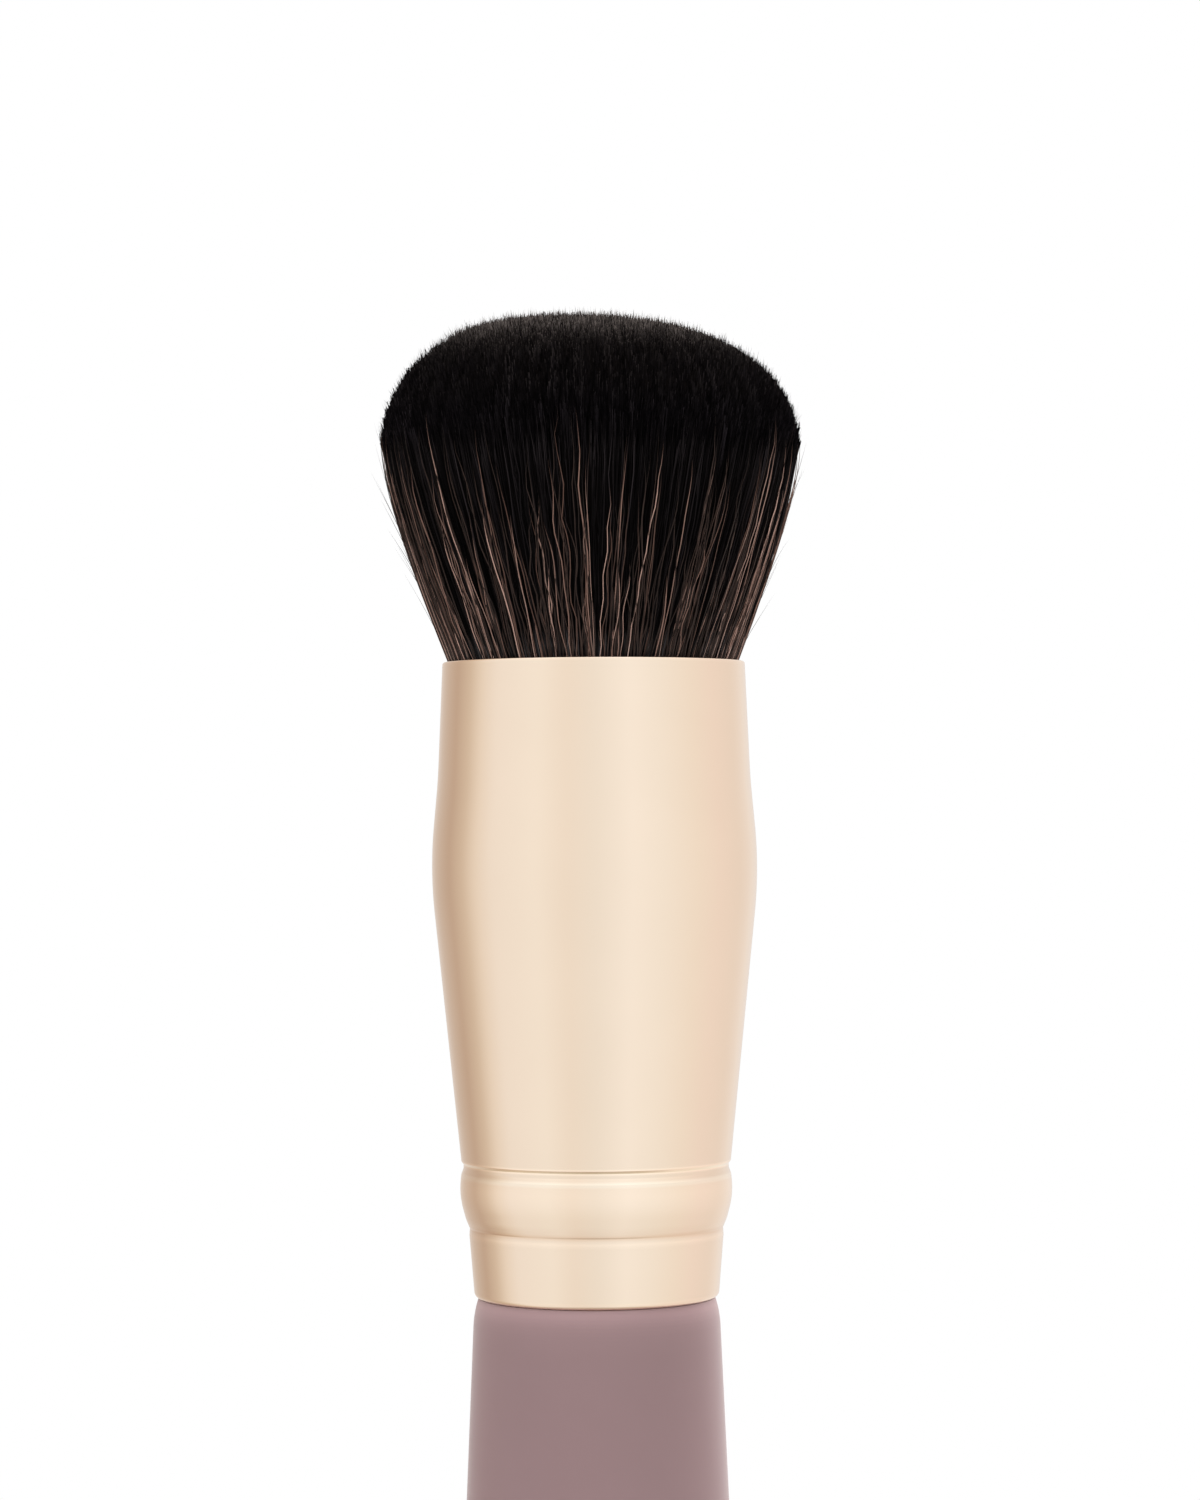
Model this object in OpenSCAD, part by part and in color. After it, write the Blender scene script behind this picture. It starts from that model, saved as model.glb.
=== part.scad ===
// Kabuki makeup brush: a domed head of synthetic filament, held by a bellied metal
// ferrule on a short flared wooden handle. Millimetres, +Z up along the brush, with
// the origin at the centre of the handle's flat base. +X is the lower side of the dome.

/* [Handle] */
// Length of the handle that shows below the ferrule
handle_l = 58; // [40:1:90]
// Diameter of the handle just under its shoulder
handle_top_d = 22.1; // [21.8:0.1:23.4]
// Widest diameter of the handle, near its base
handle_low_d = 27; // [25:0.1:31]
// Radius of the rounded edge round the base
base_edge_r = 3.5; // [1:0.1:5]
// Diameter of the tenon that enters the ferrule
tenon_d = 20.4; // [18:0.1:20.4]
// Length of the tenon
tenon_l = 22; // [12:1:26]

/* [Ferrule] */
// Length of the ferrule
ferrule_l = 57; // [55:0.5:66]
// Outside diameter at the mouth
mouth_d = 27.2; // [26.8:0.1:28]
// Outside diameter at the belly
belly_d = 29.2; // [28.4:0.1:31]
// Depth of the belly below the mouth
belly_depth = 18.6; // [16:0.2:22]
// Outside diameter of the waist above the bead
waist_d = 24.2; // [23.8:0.1:24.4]
// Outside diameter of the rolled bead
bead_d = 24.4; // [24.2:0.1:25.6]
// Depth of the groove above the bead
groove = 0.2; // [0.1:0.05:0.25]
// Outside diameter of the skirt at its lower end
skirt_d = 21.9; // [21.7:0.1:22.1]
// Thickness of the metal
wall = 0.45; // [0.3:0.05:0.6]

/* [Knot] */
// Outside diameter of the cup that holds the filaments
cup_d = 26; // [24:0.1:26]
// Depth of the cup
cup_h = 16; // [12:1:20]
// Thickness of the cup's wall and floor
cup_wall = 0.6; // [0.4:0.1:1.2]
// Diameter of the binding thread
thread_d = 0.5; // [0.3:0.1:0.8]
// Number of turns of thread round the filaments
thread_turns = 6; // [3:1:8]

/* [Head] */
// Height of the head above the mouth
head_h = 31.7; // [26:0.1:36]
// Widest diameter of the head
head_d = 38; // [34:0.5:42]
// Height of the widest place above the mouth
widest_h = 19.8; // [17:0.1:22]
// Height above the mouth where the trimmed dome begins
shoulder_h = 18.8; // [16:0.1:20]
// Angle at which the outer filaments leave the mouth
splay = 21; // [19:0.5:23]
// Angle by which the trimmed dome leans towards +X
dome_tilt = 2.4; // [0:0.1:5]
// Squareness of the dome, where 2 is an ellipse
dome_power = 2.25; // [2:0.05:3]
// Number of dark strands in the core
core_count = 168; // [120:8:176]
// Number of brown strands in the layer round the core
outer_count = 240; // [180:10:250]

/* [Hidden] */
$fn = 96;

// Heights of the joints between pieces
ferrule_z = handle_l;
mouth_z = ferrule_z + ferrule_l;
cup_top_z = mouth_z - 2;
cup_floor_z = cup_top_z - cup_h;

// Handle
shoulder_drop = 1.5;
shoulder_round = 9;
neck_r = 10.62;
tenon_r = tenon_d / 2;
tenon_chamfer = 1;

// Ferrule, as corners of its outside: radius, depth below the mouth, radius of the round
collar_depth = 10.5;
collar_r = mouth_d / 2 + 0.45;
collar_round = 60;
belly_round = 40;
belly_crown = 0.2;
groove_round = 0.1;
crease_round = 0.3;
bead_round = 7;
lower_round = 4;
rim_round = wall * 0.48;
edge_round = 0.6;
lip_r = tenon_r + 0.12;
lip_h = 0.5;
waist_depth = ferrule_l - 12;
bead_depth = waist_depth + 2.75;
skirt_depth = waist_depth + 5.72;
skirt_crest = skirt_depth + 0.63;
groove_rise = 0.25;
groove_floor = 0.4;
groove_h = 0.95;
ferrule_outside = [
    [mouth_d / 2, 0, rim_round],
    [collar_r, collar_depth, collar_round],
    [belly_d / 2 + belly_crown, belly_depth, belly_round],
    [waist_d / 2, waist_depth - groove_rise, groove_round],
    [waist_d / 2 - groove, waist_depth, groove_round],
    [waist_d / 2 - groove + 0.01, waist_depth + groove_floor, crease_round],
    [waist_d / 2 + 0.02, waist_depth + groove_h, crease_round],
    [bead_d / 2 + 0.1, bead_depth, bead_round],
    [skirt_d / 2 + 0.77, skirt_depth - 0.82, lower_round],
    [skirt_d / 2 + 0.49, skirt_depth - 0.14, groove_round],
    [skirt_d / 2 + 0.41, skirt_depth, groove_round],
    [skirt_d / 2 + 0.46, skirt_crest, crease_round],
    [skirt_d / 2, ferrule_l, edge_round]
];
inside_corners = [for (c = ferrule_outside) [c.x - wall, c.y, c.z]];
ferrule_inside = [for (k = [len(inside_corners) - 2 : -1 : 0]) inside_corners[k]];

// Knot
cup_r = cup_d / 2;
knot_r = cup_r - cup_wall;
glue_top_z = cup_top_z - 2.5;
thread_z = cup_floor_z + 5;
thread_ring_r = knot_r - 0.8;

// Strands
slice_top_z = mouth_z - 1.5;
slice_r = knot_r - 0.05;
core_r = 8;
slice_gap = 0.1;
root_inset = 0.03;
golden_angle = 137.50776;
root_size = 0.48;
mid_size = 0.66;
mid_share = 0.52;
end_size = 0.6;
end_share = 0.92;
tip_change = 0.35;
head_r = head_d / 2;
dome_h = head_h - shoulder_h;
rise_to_widest = widest_h + mouth_z - slice_top_z;
rise_to_dome = shoulder_h + mouth_z - slice_top_z;
curl = (slice_r + tan(splay) * rise_to_widest - head_r) / pow(rise_to_widest, 3);

// Points along the arc that rounds the corner b between a and c
function corner_arc(a, b, c, radius, steps = 6) =
    let (
        to_a = (a - b) / norm(a - b),
        to_c = (c - b) / norm(c - b),
        half = acos(to_a * to_c) / 2,
        middle = (to_a + to_c) / norm(to_a + to_c),
        centre = b + middle * radius / sin(half),
        from = b + to_a * radius / tan(half) - centre,
        to = b + to_c * radius / tan(half) - centre,
        start = atan2(from.y, from.x),
        turn = (atan2(to.y, to.x) - start + 540) % 360 - 180
    )
    [for (k = [0 : steps]) centre + radius * [cos(start + turn * k / steps), sin(start + turn * k / steps)]];

// A closed outline from corners [x, y, radius], each corner rounded by its radius
function rounded_outline(corners) =
    let (n = len(corners), flat = [for (c = corners) [c.x, c.y]])
    [for (k = [0 : n - 1])
        each corners[k].z > 0
            ? corner_arc(flat[(k + n - 1) % n], flat[k], flat[(k + 1) % n], corners[k].z)
            : [flat[k]]];

// The ferrule's inner radius at a depth between two of its inner corners
function inside_r(depth) = lookup(depth, [for (c = inside_corners) [c.y, c.x]]);

module handle() {
    color([0.62, 0.52, 0.52])
        rotate_extrude()
            polygon(rounded_outline([
                [0, 0, 0],
                [handle_low_d / 2, 0, base_edge_r],
                [handle_top_d / 2, ferrule_z - shoulder_drop, shoulder_round],
                [neck_r, ferrule_z, 0],
                [tenon_r, ferrule_z, 0],
                [tenon_r, ferrule_z + tenon_l - tenon_chamfer, 0],
                [tenon_r - tenon_chamfer, ferrule_z + tenon_l, 0],
                [0, ferrule_z + tenon_l, 0]
            ]));
}

// Adhesive between the tenon and the skirt, up to the bead
module handle_glue() {
    color([0.85, 0.78, 0.6])
        translate([0, 0, mouth_z])
            mirror([0, 0, 1])
                rotate_extrude()
                    polygon([
                        [tenon_r, waist_depth],
                        [inside_r(waist_depth), waist_depth],
                        [inside_r(skirt_depth), skirt_depth],
                        [inside_r(skirt_crest), skirt_crest],
                        [inside_r(ferrule_l - lip_h), ferrule_l - lip_h],
                        [tenon_r, ferrule_l - lip_h]
                    ]);
}

// Drawn shell: a collar, a belly, a cone, a bead between two grooves, and a turned-in skirt
module ferrule() {
    color([0.93, 0.85, 0.76])
        translate([0, 0, mouth_z])
            mirror([0, 0, 1])
                rotate_extrude()
                    polygon(rounded_outline(concat(
                        ferrule_outside,
                        [
                            [lip_r, ferrule_l, 0],
                            [lip_r, ferrule_l - lip_h, 0],
                            [inside_r(ferrule_l - lip_h), ferrule_l - lip_h, 0]
                        ],
                        ferrule_inside
                    )));
}

// Adhesive between the cup and the ferrule's collar
module cup_glue() {
    top_depth = mouth_z - cup_top_z;
    color([0.85, 0.78, 0.6])
        translate([0, 0, mouth_z])
            mirror([0, 0, 1])
                rotate_extrude()
                    polygon([
                        [cup_r, top_depth],
                        [inside_r(top_depth), top_depth],
                        [inside_r(collar_depth), collar_depth],
                        [cup_r, collar_depth]
                    ]);
}

// Cup that keeps the bound filaments together until their glue has set
module knot_cup() {
    color([0.75, 0.75, 0.76])
        translate([0, 0, cup_floor_z])
            difference() {
                cylinder(h = cup_h, r = cup_r);
                translate([0, 0, cup_wall])
                    cylinder(h = cup_h, r = knot_r);
            }
}

// Glue that the filament roots stand in, set round the binding thread
module knot_glue() {
    color([0.55, 0.45, 0.3])
        difference() {
            translate([0, 0, cup_floor_z + cup_wall])
                cylinder(h = glue_top_z - cup_floor_z - cup_wall, r = knot_r);
            thread_rings();
        }
}

module binding_thread() {
    color([0.9, 0.9, 0.88])
        thread_rings();
}

// The turns of thread, each pressed a little into the next
module thread_rings() {
    pitch = thread_d * 0.9;
    for (k = [0 : thread_turns - 1])
        translate([0, 0, thread_z + k * pitch])
            rotate_extrude()
                translate([thread_ring_r, 0])
                    circle(d = thread_d, $fn = 16);
}

// Outside radius of the head at a height above the slice
function flare(h) = slice_r + tan(splay) * h - curl * pow(h, 3);

// Height of the trimmed dome above the slice at a radius and an angle
function dome(r, angle) =
    rise_to_dome
    + dome_h * pow(1 - pow(min(r / head_r, 1), dome_power), 1 / dome_power)
    - tan(dome_tilt) * r * cos(angle);

// Height at which a strand that keeps its share of the flare meets the dome
function tip_height(share, angle, tries = 4) =
    tries == 0
        ? rise_to_widest
        : dome(share * flare(tip_height(share, angle, tries - 1)), angle);

// Middle of a strand of some size at a height above the slice, inside the flare
function strand_place(share, angle, h, size) =
    let (r = share * (flare(h) - size))
    [r * cos(angle), r * sin(angle), slice_top_z + h];

// One three-sided strand, from its root in the slice to a fine tip on the dome
module strand(share, angle, change) {
    tip_h = tip_height(share, angle) + change;
    stations = [[0, root_size], [tip_h * mid_share, mid_size], [tip_h * end_share, end_size]];
    sides = [0, 120, 240];
    points = concat(
        [for (s = stations, a = sides)
            strand_place(share, angle, s.x, s.y) + s.y * [cos(angle + a), sin(angle + a), 0]],
        [strand_place(share, angle, tip_h, 0)]
    );
    tip = len(points) - 1;
    polyhedron(points, concat(
        [[0, 1, 2]],
        [for (k = [0, 3], j = [0 : 2]) [k + j, k + 3 + j, k + 3 + (j + 1) % 3]],
        [for (k = [0, 3], j = [0 : 2]) [k + j, k + 3 + (j + 1) % 3, k + (j + 1) % 3]],
        [for (j = [0 : 2]) [6 + j, tip, 6 + (j + 1) % 3]]
    ));
}

// Strands spread evenly from one radius of the slice to another, as seeds in a sunflower
module strands(count, from_r, to_r, seed) {
    changes = rands(-tip_change, tip_change, count, seed);
    full_r = slice_r - root_size;
    for (k = [0 : count - 1]) {
        r = sqrt(from_r ^ 2 + (to_r ^ 2 - from_r ^ 2) * (k + 0.5) / count);
        strand(r / full_r, k * golden_angle, changes[k]);
    }
}

// A slice of the bound filaments, from one radius to another
module knot_slice(from_r, to_r) {
    translate([0, 0, glue_top_z])
        difference() {
            cylinder(h = slice_top_z - glue_top_z, r = to_r, $fn = 48);
            if (from_r > 0)
                translate([0, 0, -1])
                    cylinder(h = slice_top_z - glue_top_z + 2, r = from_r, $fn = 48);
        }
}

// Joins what it is given into one closed skin
module fused() {
    resize([0, 0, 0])
        union()
            children();
}

module core_bristles() {
    color([0.07, 0.065, 0.07])
        fused() {
            knot_slice(0, core_r);
            strands(core_count, 0, core_r - root_size - root_inset, 11);
        }
}

module outer_bristles() {
    color([0.27, 0.2, 0.18])
        fused() {
            knot_slice(core_r + slice_gap, slice_r);
            strands(
                outer_count,
                core_r + slice_gap + root_size + root_inset,
                slice_r - root_size - root_inset,
                23
            );
        }
}

handle();
handle_glue();
ferrule();
cup_glue();
knot_cup();
knot_glue();
binding_thread();
core_bristles();
outer_bristles();
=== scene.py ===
# Kabuki makeup brush: a domed head of dark synthetic filament, a satin champagne ferrule
# and a soft mauve handle, standing on a pale floor. Sizes are in millimetres until an
# object is made, and heights in the head start at the slice that its strands grow from.

import math

import bpy
import numpy as np
from mathutils import Matrix, Vector


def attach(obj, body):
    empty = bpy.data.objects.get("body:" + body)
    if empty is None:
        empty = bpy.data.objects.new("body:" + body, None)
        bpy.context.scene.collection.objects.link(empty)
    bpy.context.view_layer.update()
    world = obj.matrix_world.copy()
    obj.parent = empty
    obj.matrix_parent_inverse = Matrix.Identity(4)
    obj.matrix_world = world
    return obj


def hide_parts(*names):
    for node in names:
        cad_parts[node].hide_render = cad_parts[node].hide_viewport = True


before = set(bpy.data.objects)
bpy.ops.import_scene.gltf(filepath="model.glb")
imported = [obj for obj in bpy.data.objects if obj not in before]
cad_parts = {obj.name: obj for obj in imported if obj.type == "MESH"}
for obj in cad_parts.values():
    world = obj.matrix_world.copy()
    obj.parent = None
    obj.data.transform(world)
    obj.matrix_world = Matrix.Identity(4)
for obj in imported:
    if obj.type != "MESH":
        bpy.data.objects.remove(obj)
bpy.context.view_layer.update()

MM = 0.001
FULL_TURN = 2 * math.pi

# Camera: level with the ferrule, turned a little about its view
CAMERA_PLACE = (0.54, -360.0, 100.8)
CAMERA_PITCH = math.radians(1.0)
CAMERA_ROLL = math.radians(-0.3)
LENS = 96.0
SENSOR = 36.0

# Head, close to the sizes of the CAD model
SLICE_TOP_Z = 113.5
SLICE_R = 12.35
HEAD_R = 19.0
WIDEST_H = 20.8
DOME_START_H = 19.5
DOME_H = 13.1
DOME_POWER = 2.5
DOME_TILT = math.tan(math.radians(2.1))
SPLAY = math.tan(math.radians(21))
CURL = (SLICE_R + SPLAY * WIDEST_H - HEAD_R) / WIDEST_H ** 3
HEAD_H = DOME_START_H + DOME_H
HEAD_SHIFT = -0.25
LEFT_SHOULDER_DROP = 0.9
SHOULDER_START_R = 12.0
SHOULDER_W = 6.0
OUTER_SHARE = 0.99
SEARCH_ROUNDS = 8

# Every strand is three-sided, and turned by up to this angle
STRAND_SIDES = 3
STRAND_TURN = 2.0
CRIMP_PITCH = (0.7, 1.4)
CRIMP_FULL_H = 2.5
LEAN = 0.35
LEAN_POWER = 1.3
SPREAD = 0.15

# Long strands and the locks that draw them together; a crimp is its length and size
LONG_START_H = 0.3
LONG_OUTWARD = 0.7
LONG_TIP_DROP = 1.6
LONG_STEP_POWER = 1.1
LONG_CRIMP = (14.0, 0.12)
LONG_BULGE = (14.0, 0.06)
LONG_MOST_SHARE = 1.003
LONG_RADII = (0.045, 0.075)
LONG_TAPER = 0.1
LONG_END_SIZE = 0.12
LOCKS = 150
LOCK_BLUR = 0.004
LOCK_PULL = 0.45
LOCK_PULL_POWER = 1.5
LOCK_END_H = 26

# Tips of the dome, and the tufts that give neighbours one tone and height
TIP_LENGTHS = (0.4, 1.9)
TIP_SIZES = (0.75, 1.25)
FRINGE_MOST = 4.5
RIM_POWER = 4
NEEDLE_FADE = 4
TUFT_W = 0.26
TUFT_L = 3.0
TUFT_BLUR = 0.06
TUFT_H = 0.1
TUFT_KINDS = 4001
TUFT_SEED = 1
TUFT_TONED = 0.6
TUFT_STAGGER = 0.37
COLUMN_STEP = 73
ROW_STEP = 179

# Cut ends are painted lighter towards the top of the dome, as painted backlight where light from above and
# behind falls through them: how far up their colours they reach, by height
TIP_PAINTED_LIGHT_REACH = [(22.6, 0.6), (25.0, 0.82), (27.8, 0.925), (29.6, 0.955), (31.4, 1.0)]

# Brown strands, in sheaves whose width is an angle
SHEAVES = 420
SHEAF_LEAN = 0.8
SHEAF_W = 0.045
SHEAF_CLOSE = 0.8
SHEAF_CLOSE_H = 15
BROWN_SHARES = (0.996, 1.01)
BROWN_START_H = 0.4
BROWN_SHORTEST = 3.5
BROWN_SPAN = 20
BROWN_SPAN_POWER = 1.1
BROWN_CRIMP = (8.0, 0.12)
BROWN_SINK = 0.03
BROWN_SINK_FROM = 0.75
BROWN_RADII = (0.035, 0.07)
BROWN_TAPER = 0.3
BROWN_END_SIZE = 0.2

# Stray strands, at angles near the head's left and right
STRAY_ANGLE = 0.35
STRAY_LEAST = 0.15
STRAY_SPAN = 1.4
STRAY_STARTS = (1, 14)
STRAY_LENGTHS = (5, 11)
STRAY_CRIMP = (9.0, 0.2)
STRAY_SHARE = 0.995
STRAY_CURVE = 1.6
STRAY_RADII = (0.018, 0.026)
STRAY_TAPER = 0.4
STRAY_END_SIZE = 0.3

# Packed core: rows up its side, then rows inwards over its dome
CORE_SIDE_GAP = 3.0
CORE_SIDE_ROWS = 24
CORE_DOME_ROWS = 34
CORE_FIRST_ROW = 0.03
CORE_INWARD = 1.6
CORE_RISE = 40

# Strands of one tone share a column of the piece's map, with the height along them upwards
TONES = 48
COLUMN_EDGE = 0.2
MAP_NAME = "OFBake"

# Ferrule, with the outside corners of the CAD model: radius, depth below the mouth, round
MOUTH_Z = 115.0
FERRULE_L = 57.0
FERRULE_WALL = 0.45
FERRULE_CORNERS = [
    (13.6, 0, 0.216),
    (14.05, 10.5, 60),
    (14.8, 18.6, 40),
    (12.1, 44.75, 0.1),
    (11.9, 45.0, 0.1),
    (11.91, 45.4, 0.3),
    (12.12, 45.95, 0.3),
    (12.3, 47.75, 7),
    (11.72, 49.9, 4),
    (11.44, 50.58, 0.1),
    (11.36, 50.72, 0.1),
    (11.41, 51.35, 0.3),
    (10.95, 57, 0.6),
]
LIP_R = 10.32
LIP_H = 0.5
FERRULE_SPOKES = 192
WIDE_ARC_R = 1
WIDE_ARC_STEPS = 24
FINE_ARC_STEPS = 8
SHARP_ANGLE = math.radians(40)

# Tone of the metal by depth below the mouth, all painted light: painted highlights at the rim, on the
# upper crease, along the bead's top edge and upper part, below the lower crease and on the bottom edge,
# and painted shade in the lower crease
# Painted shade in the lower crease
CREASE_PAINTED_SHADE = (0.93, 0.88, 0.84)
METAL_PAINTED_LIGHT = [
    (0.0, 1.06),
    (0.4, 1.0),
    (44.6, 1.0),
    (44.82, 1.25),
    (45.0, 1.25),
    (45.2, 0.98),
    (45.65, 0.96),
    (45.9, (1.07, 1.14, 1.18)),
    (46.1, (1.07, 1.12, 1.15)),
    (46.3, 1.05),
    (47.0, 1.06),
    (49.2, 1.0),
    (50.3, 0.99),
    (50.6, CREASE_PAINTED_SHADE),
    (50.74, CREASE_PAINTED_SHADE),
    (51.0, 1.0),
    (51.3, 1.1),
    (51.5, 1.0),
    (56.4, 1.0),
    (56.8, 1.1),
]

# Tone of the lacquer by height: painted light, paler over the shoulder where it faces the light from above
HANDLE_L = 58.0
LACQUER_PAINTED_LIGHT = [(54.0, 0.74), (55.7, 0.77), (56.4, 0.80), (57.1, 0.90), (57.5, 0.98), (58.0, 1.0)]

# Finish: scales of noise, and the strength and distance in metres of each bump
STREAK_STRETCH = (220, 4, 1)
METAL_CLOUD = 90
METAL_BEAD = 9000
METAL_BUMP = (0.06, 0.00002)
METAL_ROUGHNESS = (0.12, 0.16)
LACQUER_CLOUD = 60
LACQUER_TOOTH = 6000
LACQUER_BUMP = (0.1, 0.00003)
CLOUD_ENDS = (0.3, 0.7)

# Light: what metal sees round it, by degrees to the right of the camera's side
STUDIO = [
    (-180, (0.84, 0.78, 0.74)),
    (-150, (0.68, 0.59, 0.53)),
    (-125, (0.60, 0.48, 0.40)),
    (-107, (0.74, 0.64, 0.55)),
    (-93, (0.92, 0.86, 0.80)),
    (-78, (1.00, 0.98, 0.97)),
    (-42, (1.04, 1.04, 1.03)),
    (-20, (0.99, 0.96, 0.93)),
    (0, (0.99, 0.99, 0.98)),
    (27, (1.08, 1.09, 1.10)),
    (50, (1.04, 1.04, 1.03)),
    (78, (1.00, 0.96, 0.92)),
    (100, (0.98, 0.90, 0.87)),
    (125, (0.93, 0.86, 0.82)),
    (150, (0.95, 0.90, 0.87)),
    (180, (0.84, 0.78, 0.74)),
]
STUDIO_HEIGHT = [
    (-1.0, (0.50, 0.42, 0.36)),
    (-0.93, (0.62, 0.55, 0.49)),
    (-0.8, (0.93, 0.90, 0.87)),
    (-0.5, (0.97, 0.96, 0.94)),
    (-0.25, (1.0, 1.0, 1.0)),
    (0.3, (1.01, 1.01, 1.01)),
    (0.5, (1.12, 1.12, 1.12)),
    (1.0, (1.15, 1.15, 1.15)),
]
FILL_LEVEL = 0.42

# The world's colours are mixed at a fraction of their level, and its strength makes up for it
WORLD_STRENGTH = 2
LAMPS = [
    ("lamp_front", (-60, -400, 640), (0.6, 0.6), 4.2),
    ("lamp_right", (500, 420, 350), (0.5, 0.7), 6.0),
    ("lamp_left", (-500, 420, 350), (0.5, 0.7), 2.4),
]
LAMP_AIM = (0, 0, 100)

# Floor: its grey, and the distances from the brush between which it fades out
FLOOR_R = 220.0
FLOOR_SPOKES = 96
FLOOR_GREY = 0.80
FADE_START = 90.0
FADE_END = 200.0


# Meshes

def mesh_object(name, points, triangles, corners):
    """A smooth object of triangles, with the map that its colours follow."""
    mesh = bpy.data.meshes.new(name)
    mesh.vertices.add(len(points))
    mesh.vertices.foreach_set("co", (points * MM).astype(np.float32).ravel())
    mesh.loops.add(triangles.size)
    mesh.loops.foreach_set("vertex_index", triangles.astype(np.int32).ravel())
    mesh.polygons.add(len(triangles))
    mesh.polygons.foreach_set("loop_start", np.arange(0, triangles.size, 3, dtype=np.int32))
    mesh.polygons.foreach_set("use_smooth", np.ones(len(triangles), dtype=bool))
    layer = mesh.uv_layers.new(name=MAP_NAME)
    layer.uv.foreach_set("vector", corners.astype(np.float32).ravel())
    mesh.update(calc_edges=True)
    mesh.validate()
    made = bpy.data.objects.new(name, mesh)
    bpy.context.scene.collection.objects.link(made)
    return made


def ring_faces(rows, spokes, closed):
    """Triangles and map corners between rows of points round the axis, each row as long."""
    last = rows if closed else rows - 1
    k, j = np.meshgrid(np.arange(last), np.arange(spokes), indexing="ij")
    k, j = k.ravel(), j.ravel()
    up, on = (k + 1) % rows, (j + 1) % spokes
    a, b, c, d = k * spokes + j, k * spokes + on, up * spokes + on, up * spokes + j
    triangles = np.stack([a, b, c, a, c, d], axis=1).reshape(-1, 3)
    low, high = k / last, (k + 1) / last
    left, right = j / spokes, (j + 1) / spokes
    u = np.stack([left, right, right, left, right, left], axis=1)
    v = np.stack([low, low, high, low, high, high], axis=1)
    return triangles, np.stack([u, v], axis=-1)


# Head

def flare(h):
    """Outside radius of the head at a height."""
    return SLICE_R + SPLAY * h - CURL * h ** 3


def dome(r, angle):
    """Height of the trimmed dome at a radius and an angle, a little lower at its left."""
    inner = 1 - np.minimum(r / HEAD_R, 1) ** DOME_POWER
    level = DOME_START_H + DOME_H * inner ** (1 / DOME_POWER)
    left_shoulder = np.clip((r - SHOULDER_START_R) / SHOULDER_W, 0, 1) * np.maximum(-np.cos(angle), 0)
    return level - DOME_TILT * r * np.cos(angle) - LEFT_SHOULDER_DROP * left_shoulder


def tip_height(share, angle):
    """Height at which a strand with this share of the flare meets the dome, by half steps."""
    h = np.full_like(share, WIDEST_H)
    for _ in range(SEARCH_ROUNDS):
        h = (h + dome(share * flare(h), angle)) / 2
    return h


def place(share, angle, h):
    """Points in the head at shares of the flare, angles and heights."""
    r = share * flare(h)
    x = r * np.cos(angle) + HEAD_SHIFT * h / HEAD_H
    return np.stack([x, r * np.sin(angle), SLICE_TOP_Z + h], axis=-1)


def waves(rng, h, length, size):
    """Crimp of strands, none at the root and full just above the mouth: a wave and its octave."""
    count = len(h)
    start = rng.uniform(0, FULL_TURN, (count, 2))
    pitch = rng.uniform(*CRIMP_PITCH, (count, 2)) * length
    height = rng.normal(0, size, (count, 2))
    wave = height[:, :1] * np.sin(FULL_TURN * h / pitch[:, :1] + start[:, :1])
    wave += 0.5 * height[:, 1:] * np.sin(2 * FULL_TURN * h / pitch[:, 1:] + start[:, 1:])
    return wave * np.clip(h / CRIMP_FULL_H, 0, 1)


def rims_around(rng, count):
    """Angles of the corners of each strand's rim, turned at random."""
    sides = np.arange(STRAND_SIDES) * FULL_TURN / STRAND_SIDES
    return rng.uniform(0, STRAND_TURN, count)[:, None] + sides


def tapered(rng, radii, steps, taper, end_size):
    """Radii along strands, that grow finer over the last part of the way."""
    return rng.uniform(*radii, len(steps))[:, None] * np.clip((1 - steps) / taper, end_size, 1)


def strand_object(name, rng, centres, radii, along):
    """Three-sided strands through rows of centres, each closed by a point at its last one."""
    count, stations = radii.shape
    rings = stations - 1
    top = STRAND_SIDES * rings
    around = rims_around(rng, count)[:, None, :]
    rims = np.repeat(centres[:, :rings, None, :], STRAND_SIDES, axis=2)
    rims[..., 0] += radii[:, :rings, None] * np.cos(around)
    rims[..., 1] += radii[:, :rings, None] * np.sin(around)
    points = np.concatenate([rims.reshape(count, top, 3), centres[:, -1:, :]], axis=1)

    faces, sides, stations_of = [], [], []
    for k in range(rings):
        for j in range(STRAND_SIDES):
            low = STRAND_SIDES * k + j
            on = (j + 1) % STRAND_SIDES - j
            high = low + STRAND_SIDES
            if k == rings - 1:
                faces.append((low, low + on, top))
                sides.append((0, 1, 0.5))
                stations_of.append((k, k, rings))
                continue
            faces += [(low, low + on, high + on), (low, high + on, high)]
            sides += [(0, 1, 1), (0, 1, 0)]
            stations_of += [(k, k, k + 1), (k, k + 1, k + 1)]

    first = np.arange(count)[:, None, None] * (top + 1)
    triangles = (np.array(faces)[None] + first).reshape(-1, 3)
    tones = rng.integers(0, TONES, count)
    v = along[:, np.array(stations_of)]
    across = COLUMN_EDGE + (1 - 2 * COLUMN_EDGE) * np.array(sides, dtype=float)[None]
    u = (tones[:, None, None] + across) / TONES
    corners = np.stack([np.broadcast_to(u, v.shape), v], axis=-1)
    return mesh_object(name, points.reshape(-1, 3), triangles, corners)


def spread(angle, h):
    """How far strands turn towards the two broad sides of the head on their way up."""
    return -SPREAD * np.sin(2 * angle) * h / HEAD_H


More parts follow.
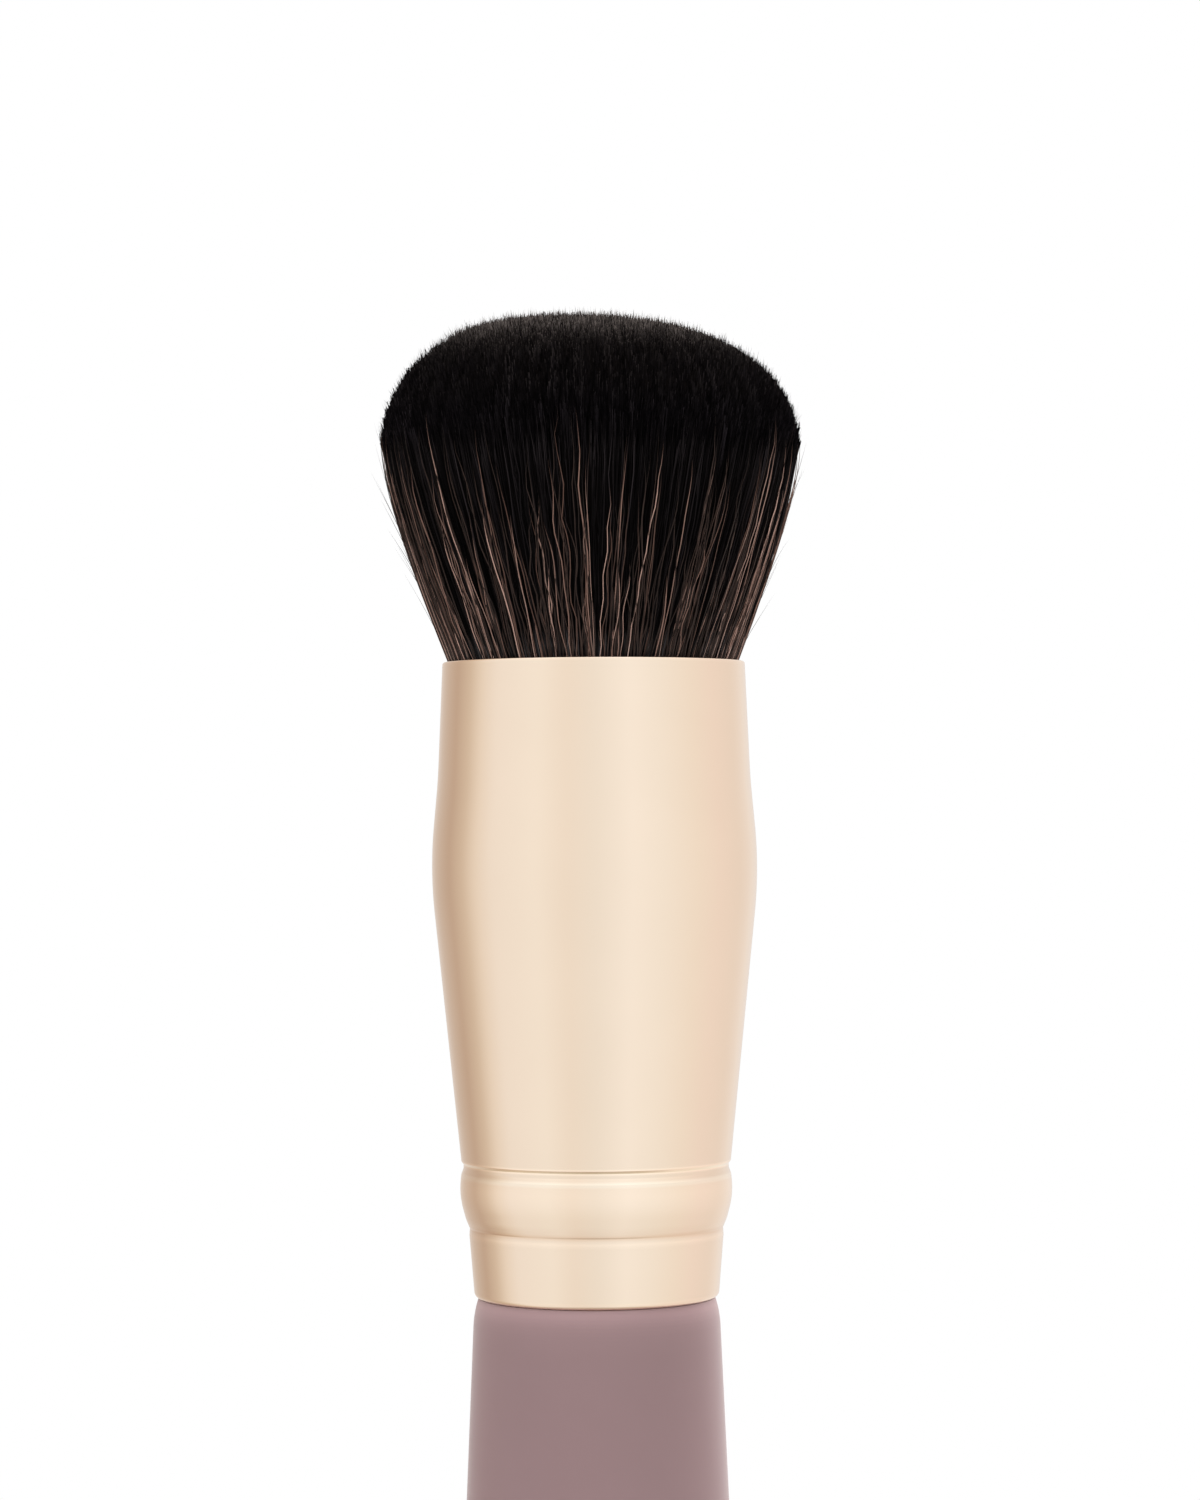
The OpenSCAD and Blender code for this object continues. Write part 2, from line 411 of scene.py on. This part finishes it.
def long_strands(name, seed, count, low_share, stations):
    """Strands that run from the slice to the dome, drawn together into locks on their way."""
    rng = np.random.default_rng(seed)
    share = low_share + (OUTER_SHARE - low_share) * rng.random(count) ** LONG_OUTWARD
    angle = rng.uniform(0, FULL_TURN, count)
    tip = tip_height(share, angle) - rng.uniform(0, LONG_TIP_DROP, count)
    steps = np.linspace(0, 1, stations)[None, :] ** LONG_STEP_POWER
    h = LONG_START_H + steps * (tip[:, None] - LONG_START_H)
    r = share[:, None] * flare(h)

    lock = np.floor((angle / FULL_TURN + rng.normal(0, LOCK_BLUR, count)) * LOCKS) % LOCKS
    lock_angle = (lock + 0.5) * FULL_TURN / LOCKS
    apart = (angle - lock_angle + math.pi) % FULL_TURN - math.pi
    pull = LOCK_PULL * np.sin(math.pi * np.clip(h / LOCK_END_H, 0, 1)) ** LOCK_PULL_POWER
    lean = rng.normal(0, LEAN, count)[:, None] * (h / HEAD_H) ** LEAN_POWER
    turned = angle[:, None] - apart[:, None] * pull + (lean + waves(rng, h, *LONG_CRIMP)) / r
    turned += spread(turned, h)
    bulge = 1 + waves(rng, h, *LONG_BULGE) * (1 - steps) / r
    centres = place(np.minimum(share[:, None] * bulge, LONG_MOST_SHARE), turned, h)
    steps = np.repeat(steps, count, axis=0)
    radii = tapered(rng, LONG_RADII, steps, LONG_TAPER, LONG_END_SIZE)
    return strand_object(name, rng, centres, radii, h / HEAD_H)


def tuft_numbers(rng, share, angle):
    """A number for the tuft that each strand of the dome stands in, a narrow one along a radius."""
    column = np.floor((angle * HEAD_R + rng.normal(0, TUFT_BLUR, len(angle))) / TUFT_W)
    row = np.floor(share * HEAD_R / TUFT_L + column * TUFT_STAGGER)
    return (column * COLUMN_STEP + row * ROW_STEP).astype(int) % TUFT_KINDS


def dome_tips(name, seed, count, needle, radius, length, inset, fringe, drop, sway):
    """The ends that make the trimmed dome: cut ones widen to the top, needles to the bottom."""
    tufts = np.random.default_rng(TUFT_SEED)
    tuft_rise = tufts.uniform(-TUFT_H, TUFT_H, TUFT_KINDS)
    tuft_tone = tufts.integers(0, TONES, TUFT_KINDS)
    rng = np.random.default_rng(seed)
    share = OUTER_SHARE * np.sqrt(rng.random(count))
    angle = rng.uniform(0, FULL_TURN, count)
    tuft = tuft_numbers(rng, share, angle)
    level = tip_height(share, angle)
    stands_out = fringe * (1 + share ** RIM_POWER) * np.minimum(rng.exponential(1, count), FRINGE_MOST)
    tip_h = level + (stands_out - drop) + tuft_rise[tuft]
    tip = place(share, angle, tip_h)
    tip[:, :2] += rng.normal(0, sway, (count, 2))
    root = place(share * inset, angle, tip_h - length * rng.uniform(*TIP_LENGTHS, count))
    point, wide = (tip, root) if needle else (root, tip)

    around = rims_around(rng, count)
    size = radius * rng.uniform(*TIP_SIZES, count)[:, None]
    rim = np.repeat(wide[:, None, :], STRAND_SIDES, axis=1)
    rim[..., 0] += size * np.cos(around)
    rim[..., 1] += size * np.sin(around)
    points = np.concatenate([point[:, None, :], rim], axis=1).reshape(-1, 3)
    faces = np.array([(0, 2, 1), (0, 3, 2), (0, 1, 3), (1, 2, 3)])
    faces = faces[:, ::-1] if needle else faces
    triangles = (np.arange(count)[:, None, None] * (STRAND_SIDES + 1) + faces).reshape(-1, 3)

    tones = np.where(rng.random(count) < TUFT_TONED, tuft_tone[tuft], rng.integers(0, TONES, count))
    # Painted backlight: ends higher on the dome reach further into their light tip colours
    reach = np.interp(level, *zip(*TIP_PAINTED_LIGHT_REACH)) ** (NEEDLE_FADE if needle else 1)
    u = (tones[:, None, None] + COLUMN_EDGE + COLUMN_EDGE * faces) / TONES
    v = reach[:, None, None] * ((faces == 0) == needle)
    return mesh_object(name, points, triangles, np.stack([u, v], axis=-1))


def crimped_strands(name, seed, count, stations):
    """Brown strands outside, in sheaves that close upwards, each sinking away at its end."""
    rng = np.random.default_rng(seed)
    sheaf = rng.integers(0, SHEAVES, count)
    angle = rng.uniform(0, FULL_TURN, SHEAVES)[sheaf]
    sheaf_lean = rng.normal(0, SHEAF_LEAN, SHEAVES)[sheaf] + rng.normal(0, LEAN, count)
    apart = rng.normal(0, SHEAF_W, count)
    share = rng.uniform(*BROWN_SHARES, count)
    end = BROWN_SHORTEST + BROWN_SPAN * rng.random(count) ** BROWN_SPAN_POWER
    steps = np.repeat(np.linspace(0, 1, stations)[None, :], count, axis=0)
    h = BROWN_START_H + steps * (end[:, None] - BROWN_START_H)
    r = flare(h)
    lean = sheaf_lean[:, None] * (h / HEAD_H) ** LEAN_POWER
    together = apart[:, None] * (1 - SHEAF_CLOSE * np.clip(h / SHEAF_CLOSE_H, 0, 1))
    turned = angle[:, None] + together + (lean + waves(rng, h, *BROWN_CRIMP)) / r
    turned += spread(turned, h)
    sunk_share = np.clip((steps - BROWN_SINK_FROM) / (1 - BROWN_SINK_FROM), 0, 1) ** 2
    centres = place(share[:, None] * (1 - BROWN_SINK * sunk_share), turned, h)
    radii = tapered(rng, BROWN_RADII, steps, BROWN_TAPER, BROWN_END_SIZE)
    return strand_object(name, rng, centres, radii, steps)


def stray_strands(name, seed, count, stations):
    """A few fine strands that stand off the sides of the head."""
    rng = np.random.default_rng(seed)
    angle = math.pi * rng.integers(0, 2, count) + rng.normal(0, STRAY_ANGLE, count)
    reach = STRAY_LEAST + STRAY_SPAN * rng.random(count)[:, None] ** 2
    begin = rng.uniform(*STRAY_STARTS, count)
    end = begin + rng.uniform(*STRAY_LENGTHS, count)
    steps = np.repeat(np.linspace(0, 1, stations)[None, :], count, axis=0)
    h = begin[:, None] + steps * (end - begin)[:, None]
    r = flare(h)
    turned = angle[:, None] + waves(rng, h, *STRAY_CRIMP) / r
    centres = place(STRAY_SHARE + reach * steps ** STRAY_CURVE / r, turned, h)
    radii = tapered(rng, STRAY_RADII, steps, STRAY_TAPER, STRAY_END_SIZE)
    return strand_object(name, rng, centres, radii, steps)


def packed_core(name, share, drop, spokes):
    """A closed form just under the strands, which no gap between them sees past."""
    angle = np.arange(spokes) * FULL_TURN / spokes
    side_top = DOME_START_H - CORE_SIDE_GAP
    side = np.linspace(0, side_top, CORE_SIDE_ROWS)
    rows = [(np.full(spokes, share), np.full(spokes, h)) for h in side]
    for t in np.linspace(CORE_FIRST_ROW, 1, CORE_DOME_ROWS):
        inner = np.full(spokes, share * (1 - t ** CORE_INWARD))
        rows.append((inner, np.minimum(tip_height(inner, angle) - drop, side_top + CORE_RISE * t)))
    points = np.concatenate([place(inner, angle, h) for inner, h in rows])
    triangles, corners = ring_faces(len(rows), spokes, closed=False)
    return mesh_object(name, points, triangles, corners)


# Ferrule

def corner_arc(before, corner, after, radius, steps):
    """Points along the arc that rounds a corner of an outline."""
    before, corner, after = np.array(before), np.array(corner), np.array(after)
    to_before = (before - corner) / np.linalg.norm(before - corner)
    to_after = (after - corner) / np.linalg.norm(after - corner)
    half = math.acos(float(to_before @ to_after)) / 2
    middle = (to_before + to_after) / np.linalg.norm(to_before + to_after)
    centre = corner + middle * radius / math.sin(half)
    start = corner + to_before * radius / math.tan(half) - centre
    end = corner + to_after * radius / math.tan(half) - centre
    first = math.atan2(start[1], start[0])
    turn = (math.atan2(end[1], end[0]) - first + math.pi) % FULL_TURN - math.pi
    angles = first + turn * np.linspace(0, 1, steps + 1)
    return [tuple(centre + radius * np.array([math.cos(a), math.sin(a)])) for a in angles]


def rounded_outline(corners):
    """A closed outline from corners, each rounded by its radius."""
    outline = []
    for k, (x, y, radius) in enumerate(corners):
        if radius == 0:
            outline.append((x, y))
            continue
        after = corners[(k + 1) % len(corners)][:2]
        steps = WIDE_ARC_STEPS if radius > WIDE_ARC_R else FINE_ARC_STEPS
        outline += corner_arc(corners[k - 1][:2], (x, y), after, radius, steps)
    return outline


def make_ferrule(material):
    """The drawn shell, turned from its outline."""
    inside = [(r - FERRULE_WALL, depth, radius) for r, depth, radius in FERRULE_CORNERS]
    (low_r, low_depth, _), (end_r, end_depth, _) = inside[-2], inside[-1]
    lip_depth = FERRULE_L - LIP_H
    share = (lip_depth - low_depth) / (end_depth - low_depth)
    lip_inside_r = low_r + (end_r - low_r) * share
    lip = [(LIP_R, FERRULE_L, 0), (LIP_R, lip_depth, 0), (lip_inside_r, lip_depth, 0)]
    outline = np.array(rounded_outline(FERRULE_CORNERS + lip + inside[-2::-1]))
    angle = np.arange(FERRULE_SPOKES) * FULL_TURN / FERRULE_SPOKES
    r, z = outline[:, :1], MOUTH_Z - outline[:, 1:]
    x, y = r * np.cos(angle), r * np.sin(angle)
    points = np.stack([x, y, np.broadcast_to(z, x.shape)], axis=-1).reshape(-1, 3)
    triangles, corners = ring_faces(len(outline), FERRULE_SPOKES, closed=True)
    shell = mesh_object("ferrule_shell", points, triangles[:, ::-1], corners[:, ::-1])
    shell.data.set_sharp_from_angle(angle=SHARP_ANGLE)
    shell.data.materials.append(material)
    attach(shell, "root")
    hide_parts("ferrule")


# Materials

class Nodes:
    """Short calls that add and link the nodes of one material or world."""

    def __init__(self, tree):
        self.tree = tree
        self.tree.nodes.clear()

    def add(self, kind, **settings):
        node = self.tree.nodes.new(kind)
        for key, value in settings.items():
            setattr(node, key, value)
        return node

    def link(self, source, target):
        self.tree.links.new(source, target)

    def fill(self, socket, value):
        if isinstance(value, bpy.types.NodeSocket):
            self.link(value, socket)
        elif isinstance(value, tuple):
            socket.default_value = (*value, 1)
        else:
            socket.default_value = value

    def math(self, operation, *values):
        node = self.add("ShaderNodeMath", operation=operation)
        for socket, value in zip(node.inputs, values):
            self.fill(socket, value)
        return node.outputs[0]

    def mix(self, factor, a, b, blend="MIX"):
        """Two colours mixed; the node keeps its colour sockets at 6 and 7, and its result at 2."""
        node = self.add("ShaderNodeMix", data_type="RGBA", blend_type=blend)
        self.fill(node.inputs[0], factor)
        self.fill(node.inputs[6], a)
        self.fill(node.inputs[7], b)
        return node.outputs[2]

    def ramp(self, source, stops):
        """Colours, or grey levels, at positions from 0 to 1."""
        node = self.add("ShaderNodeValToRGB")
        elements = node.color_ramp.elements
        while len(elements) < len(stops):
            elements.new(0.5)
        for element, (position, colour) in zip(elements, stops):
            element.position = position
            rgb = colour if isinstance(colour, tuple) else (colour,) * 3
            element.color = (*rgb, 1)
        self.link(source, node.inputs["Fac"])
        return node.outputs["Color"]

    def noise(self, scale, detail=2.0, vector=None):
        node = self.add("ShaderNodeTexNoise")
        node.inputs["Scale"].default_value = scale
        node.inputs["Detail"].default_value = detail
        if vector is None:
            vector = self.add("ShaderNodeTexCoord").outputs["Object"]
        self.link(vector, node.inputs["Vector"])
        return node.outputs["Fac"]

    def clouds(self, fac, low, high):
        """Two colours with soft borders between them, from a noise."""
        first, last = CLOUD_ENDS
        return self.ramp(fac, [(first, low), (last, high)])

    def height(self, start, end):
        """How far a point is on the way from one height to another, from 0 to 1."""
        where = self.add("ShaderNodeSeparateXYZ")
        self.link(self.add("ShaderNodeTexCoord").outputs["Object"], where.inputs[0])
        share = self.add("ShaderNodeMapRange")
        share.inputs["From Min"].default_value = start * MM
        share.inputs["From Max"].default_value = end * MM
        self.link(where.outputs["Z"], share.inputs["Value"])
        return share.outputs["Result"]

    def bump(self, height, strength, distance, shader):
        node = self.add("ShaderNodeBump")
        node.inputs["Strength"].default_value = strength
        node.inputs["Distance"].default_value = distance
        self.link(height, node.inputs["Height"])
        self.link(node.outputs["Normal"], shader.inputs["Normal"])


def new_material(name, **settings):
    """A material of one Principled shader, with settings of its own sockets."""
    material = bpy.data.materials.new(name)
    material.use_nodes = True
    nodes = Nodes(material.node_tree)
    shader = nodes.add("ShaderNodeBsdfPrincipled")
    output = nodes.add("ShaderNodeOutputMaterial")
    nodes.link(shader.outputs["BSDF"], output.inputs["Surface"])
    for socket, value in settings.items():
        shader.inputs[socket.replace("_", " ")].default_value = value
    return material, nodes, shader


def filament(name, along, tones, **settings):
    """Filament whose colour changes along it, times a brightness for each tone."""
    material, nodes, shader = new_material(name, **settings)
    where = nodes.add("ShaderNodeSeparateXYZ")
    nodes.link(nodes.add("ShaderNodeUVMap", uv_map=MAP_NAME).outputs["UV"], where.inputs[0])
    column = nodes.math("FLOOR", nodes.math("MULTIPLY", where.outputs["X"], TONES))
    pick = nodes.add("ShaderNodeTexWhiteNoise", noise_dimensions="1D")
    nodes.link(column, pick.inputs["W"])
    tone = nodes.ramp(pick.outputs["Value"], tones)
    colour = nodes.mix(1.0, nodes.ramp(where.outputs["Y"], along), tone, "MULTIPLY")
    nodes.link(colour, shader.inputs["Base Color"])
    return material


def packed_filament():
    """Near-black form with fine upright streaks."""
    material, nodes, shader = new_material("packed_filament", Roughness=0.8, Specular_IOR_Level=0.02)
    stretch = nodes.add("ShaderNodeMapping")
    stretch.inputs["Scale"].default_value = STREAK_STRETCH
    nodes.link(nodes.add("ShaderNodeUVMap", uv_map=MAP_NAME).outputs["UV"], stretch.inputs["Vector"])
    streaks = nodes.noise(1, 2, stretch.outputs["Vector"])
    dark, light = (0.0010, 0.0008, 0.0009), (0.0060, 0.0045, 0.0042)
    nodes.link(nodes.ramp(streaks, [(0.35, dark), (0.75, light)]), shader.inputs["Base Color"])
    return material


def champagne_metal():
    """Satin champagne metal: an even fine bead, a faint cloudiness, and painted highlights and painted
    shade by depth.
    """
    material, nodes, shader = new_material("champagne_metal", Metallic=1.0)
    cloud = nodes.noise(METAL_CLOUD, 3)
    low, high = (0.857, 0.718, 0.580), (0.877, 0.736, 0.596)
    # Painted light by depth: painted highlights on the rim, crease edges and bead, painted shade in the
    # lower crease
    depth = nodes.height(MOUTH_Z, MOUTH_Z - FERRULE_L)
    painted_light = nodes.ramp(depth, [(d / FERRULE_L, tone) for d, tone in METAL_PAINTED_LIGHT])
    colour = nodes.mix(1.0, nodes.clouds(cloud, low, high), painted_light, "MULTIPLY")
    nodes.link(colour, shader.inputs["Base Color"])
    rough = nodes.add("ShaderNodeMapRange")
    rough.inputs["To Min"].default_value, rough.inputs["To Max"].default_value = METAL_ROUGHNESS
    nodes.link(cloud, rough.inputs["Value"])
    nodes.link(rough.outputs["Result"], shader.inputs["Roughness"])
    nodes.bump(nodes.noise(METAL_BEAD), *METAL_BUMP, shader)
    return material


def mauve_lacquer():
    """Soft-touch mauve lacquer with a very fine tooth, a slight sheen at its edges, and painted light over
    its shoulder.
    """
    settings = {"Roughness": 0.45, "Specular_IOR_Level": 0.4, "Sheen_Weight": 0.35, "Sheen_Roughness": 0.3}
    material, nodes, shader = new_material("mauve_lacquer", **settings)
    low, high = (0.385, 0.250, 0.255), (0.405, 0.264, 0.270)
    cloud = nodes.clouds(nodes.noise(LACQUER_CLOUD, 4), low, high)
    # Painted light: the lacquer is paler over the shoulder under the ferrule
    shoulder_painted_light = nodes.ramp(nodes.height(0, HANDLE_L), [(z / HANDLE_L, tone) for z, tone in LACQUER_PAINTED_LIGHT])
    nodes.link(nodes.mix(1.0, cloud, shoulder_painted_light, "MULTIPLY"), shader.inputs["Base Color"])
    nodes.bump(nodes.noise(LACQUER_TOOTH), *LACQUER_BUMP, shader)
    return material


def cloudy(name, low, high, scale, **settings):
    """An uneven finish for a piece that is sealed inside."""
    material, nodes, shader = new_material(name, **settings)
    nodes.link(nodes.clouds(nodes.noise(scale), low, high), shader.inputs["Base Color"])
    return material


def give(node, material):
    """Puts a material in every slot of a carried-over CAD node."""
    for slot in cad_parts[node].material_slots:
        slot.material = material


def make_head():
    """The head's pieces: a packed core, long strands, the dome's tips, brown and stray strands."""
    even = [(0, 0.4), (1, 1.0)]
    varied = [(0, 0.04), (0.6, 0.15), (0.85, 0.4), (1, 1.0)]
    patchy = [(0, 0.02), (0.55, 0.07), (0.75, (0.30, 0.26, 0.24)), (0.88, 0.6), (1, 1.0)]
    # Painted light: the first colours of the long and brown strands are lighter at the roots, standing in
    # for light thrown up from the ferrule
    painted_mouth_light, root = (0.32, 0.30, 0.31), (0.036, 0.029, 0.030)
    middle, top = (0.032, 0.026, 0.028), (0.040, 0.033, 0.035)
    # Painted backlight: the end colours, and the necks before them, are light tip colours that stand in
    # for light falling through the cut ends
    body, neck, end = (0.024, 0.020, 0.023), (0.034, 0.028, 0.027), (0.19, 0.157, 0.143)
    fine_body, fine_neck, fine_end = (0.009, 0.0075, 0.0085), (0.016, 0.0135, 0.013), (0.20, 0.17, 0.158)
    lit_brown, brown = (1.0, 0.72, 0.62), (0.78, 0.49, 0.40)
    fading, sunk = (0.25, 0.15, 0.12), (0.03, 0.02, 0.018)
    matt = {"Roughness": 0.9, "Specular_IOR_Level": 0.0}
    dull = {"Roughness": 0.6, "Specular_IOR_Level": 0.03}
    glossy = {"Roughness": 0.5, "Specular_IOR_Level": 0.2}

    long_stops = [(0.04, painted_mouth_light), (0.12, root), (0.35, middle), (0.7, top)]
    long_hair = filament("long_filament", long_stops, varied, **dull)
    cut_hair = filament("cut_filament", [(0.6, body), (0.92, neck), (0.98, end)], varied, **matt)
    fine_stops = [(0.5, fine_body), (0.7, fine_neck), (0.9, fine_end)]
    fine_hair = filament("fine_filament", fine_stops, even, **matt)
    brown_stops = [(0.04, lit_brown), (0.15, brown), (0.75, brown), (0.92, fading), (0.98, sunk)]
    brown_hair = filament("crimped_filament", brown_stops, patchy, **glossy)
    stray_hair = filament("stray_filament", [(0, sunk), (1, sunk)], even, **dull)
    cut = {"radius": 0.032, "length": 4.2, "inset": 0.985, "fringe": 0.13, "drop": 0.45, "sway": 0.06}
    fine = {"radius": 0.06, "length": 2.3, "inset": 0.965, "fringe": 0.19, "drop": 0.22, "sway": 0.14}
    pieces = [
        (packed_core("head_core", 0.975, 0.8, 180), packed_filament(), "dark_filament"),
        (long_strands("head_side_strands", 5, 5200, 0.92, 7), long_hair, "dark_filament"),
        (dome_tips("head_cut_tips", 6, 49000, False, **cut), cut_hair, "dark_filament"),
        (dome_tips("head_fine_tips", 7, 49000, True, **fine), fine_hair, "dark_filament"),
        (crimped_strands("head_brown_strands", 8, 740, 17), brown_hair, "brown_filament"),
        (stray_strands("head_stray_strands", 9, 80, 10), stray_hair, "brown_filament"),
    ]
    for piece, material, slot_name in pieces:
        piece.data.materials.append(material)
        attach(piece, "root")
        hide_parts("core_bristles", "outer_bristles")


# Stage

def make_camera():
    """The photograph's viewpoint."""
    data = bpy.data.cameras.new("camera")
    data.sensor_fit = "VERTICAL"
    data.sensor_width = SENSOR
    data.sensor_height = SENSOR
    data.lens = LENS
    data.clip_start = 0.01
    camera = bpy.data.objects.new("camera", data)
    bpy.context.scene.collection.objects.link(camera)
    camera.location = Vector(CAMERA_PLACE) * MM
    turn = Matrix.Rotation(math.pi / 2 + CAMERA_PITCH, 3, "X") @ Matrix.Rotation(CAMERA_ROLL, 3, "Z")
    camera.rotation_euler = turn.to_euler()
    bpy.context.scene.camera = camera


def make_lamps():
    """Wide soft lamps that light surfaces but leave no patch of their own in the metal."""
    for name, place_mm, size, power in LAMPS:
        data = bpy.data.lights.new(name, "AREA")
        data.shape = "RECTANGLE"
        data.size, data.size_y = size
        data.energy = power
        lamp = bpy.data.objects.new(name, data)
        bpy.context.scene.collection.objects.link(lamp)
        lamp.location = Vector(place_mm) * MM
        aim = Vector(LAMP_AIM) * MM - lamp.location
        lamp.rotation_euler = aim.to_track_quat("-Z", "Y").to_euler()
        lamp.visible_glossy = False
        lamp.visible_camera = False


def make_world():
    """White to the camera, a soft studio to metal, and an even fill to everything else."""
    world = bpy.data.worlds.new("studio")
    world.use_nodes = True
    bpy.context.scene.world = world
    nodes = Nodes(world.node_tree)
    way = nodes.add("ShaderNodeSeparateXYZ")
    nodes.link(nodes.add("ShaderNodeTexCoord").outputs["Generated"], way.inputs[0])
    forward = nodes.math("MULTIPLY", way.outputs["Y"], -1)
    azimuth = nodes.math("ARCTAN2", way.outputs["X"], forward)
    round_share = nodes.math("MULTIPLY_ADD", azimuth, 1 / FULL_TURN, 0.5)
    around = nodes.ramp(round_share, [((degrees + 180) / 360, colour) for degrees, colour in STUDIO])
    height_share = nodes.math("MULTIPLY_ADD", way.outputs["Z"], 0.5, 0.5)
    levels = [((z + 1) / 2, tuple(c / WORLD_STRENGTH for c in level)) for z, level in STUDIO_HEIGHT]
    upward = nodes.ramp(height_share, levels)
    studio = nodes.mix(1.0, around, upward, "MULTIPLY")

    path = nodes.add("ShaderNodeLightPath")
    shiny = nodes.math("MAXIMUM", path.outputs["Is Glossy Ray"], path.outputs["Is Transmission Ray"])
    fill = (FILL_LEVEL / WORLD_STRENGTH,) * 3
    white = (1 / WORLD_STRENGTH,) * 3
    unseen = nodes.mix(shiny, fill, studio)
    seen = nodes.mix(path.outputs["Is Camera Ray"], unseen, white)
    background = nodes.add("ShaderNodeBackground")
    background.inputs["Strength"].default_value = WORLD_STRENGTH
    nodes.link(seen, background.inputs["Color"])
    output = nodes.add("ShaderNodeOutputWorld")
    nodes.link(background.outputs[0], output.inputs["Surface"])


def make_floor():
    """A pale round floor that fades into the white round it and leaves the metal's light alone."""
    angles = [k * FULL_TURN / FLOOR_SPOKES for k in range(FLOOR_SPOKES)]
    mesh = bpy.data.meshes.new("floor")
    rim = [(FLOOR_R * math.cos(a) * MM, FLOOR_R * math.sin(a) * MM, 0) for a in angles]
    mesh.from_pydata(rim, [], [tuple(range(FLOOR_SPOKES))])
    floor = bpy.data.objects.new("floor", mesh)
    bpy.context.scene.collection.objects.link(floor)

    material = bpy.data.materials.new("pale_floor")
    material.use_nodes = True
    nodes = Nodes(material.node_tree)
    length = nodes.add("ShaderNodeVectorMath", operation="LENGTH")
    nodes.link(nodes.add("ShaderNodeTexCoord").outputs["Object"], length.inputs[0])
    fade = nodes.add("ShaderNodeMapRange", interpolation_type="SMOOTHSTEP")
    fade.inputs["From Min"].default_value = FADE_START * MM
    fade.inputs["From Max"].default_value = FADE_END * MM
    nodes.link(length.outputs["Value"], fade.inputs["Value"])
    diffuse = nodes.add("ShaderNodeBsdfDiffuse")
    diffuse.inputs["Color"].default_value = (FLOOR_GREY, FLOOR_GREY, FLOOR_GREY, 1)
    path = nodes.add("ShaderNodeLightPath")
    clear = nodes.math("MAXIMUM", fade.outputs["Result"], path.outputs["Is Glossy Ray"])
    mixer = nodes.add("ShaderNodeMixShader")
    nodes.link(clear, mixer.inputs[0])
    nodes.link(diffuse.outputs[0], mixer.inputs[1])
    nodes.link(nodes.add("ShaderNodeBsdfTransparent").outputs[0], mixer.inputs[2])
    output = nodes.add("ShaderNodeOutputMaterial")
    nodes.link(mixer.outputs[0], output.inputs["Surface"])
    mesh.materials.append(material)


make_camera()
make_world()
make_floor()
make_lamps()
make_head()
make_ferrule(champagne_metal())

adhesive = cloudy("set_adhesive", (0.62, 0.52, 0.32), (0.72, 0.62, 0.42), 300, Roughness=0.4)
give("handle", mauve_lacquer())
tinned = cloudy("tinned_cup", (0.60, 0.60, 0.60), (0.72, 0.72, 0.70), 200, Roughness=0.35, Metallic=1.0)
give("knot_cup", tinned)
give("handle_glue", adhesive)
give("cup_glue", adhesive)
give("knot_glue", cloudy("set_epoxy", (0.20, 0.13, 0.06), (0.30, 0.20, 0.10), 300, Roughness=0.3))
give("binding_thread", cloudy("wound_thread", (0.70, 0.70, 0.66), (0.85, 0.85, 0.80), 2500, Roughness=0.8))

bpy.context.scene.view_settings.view_transform = "Standard"
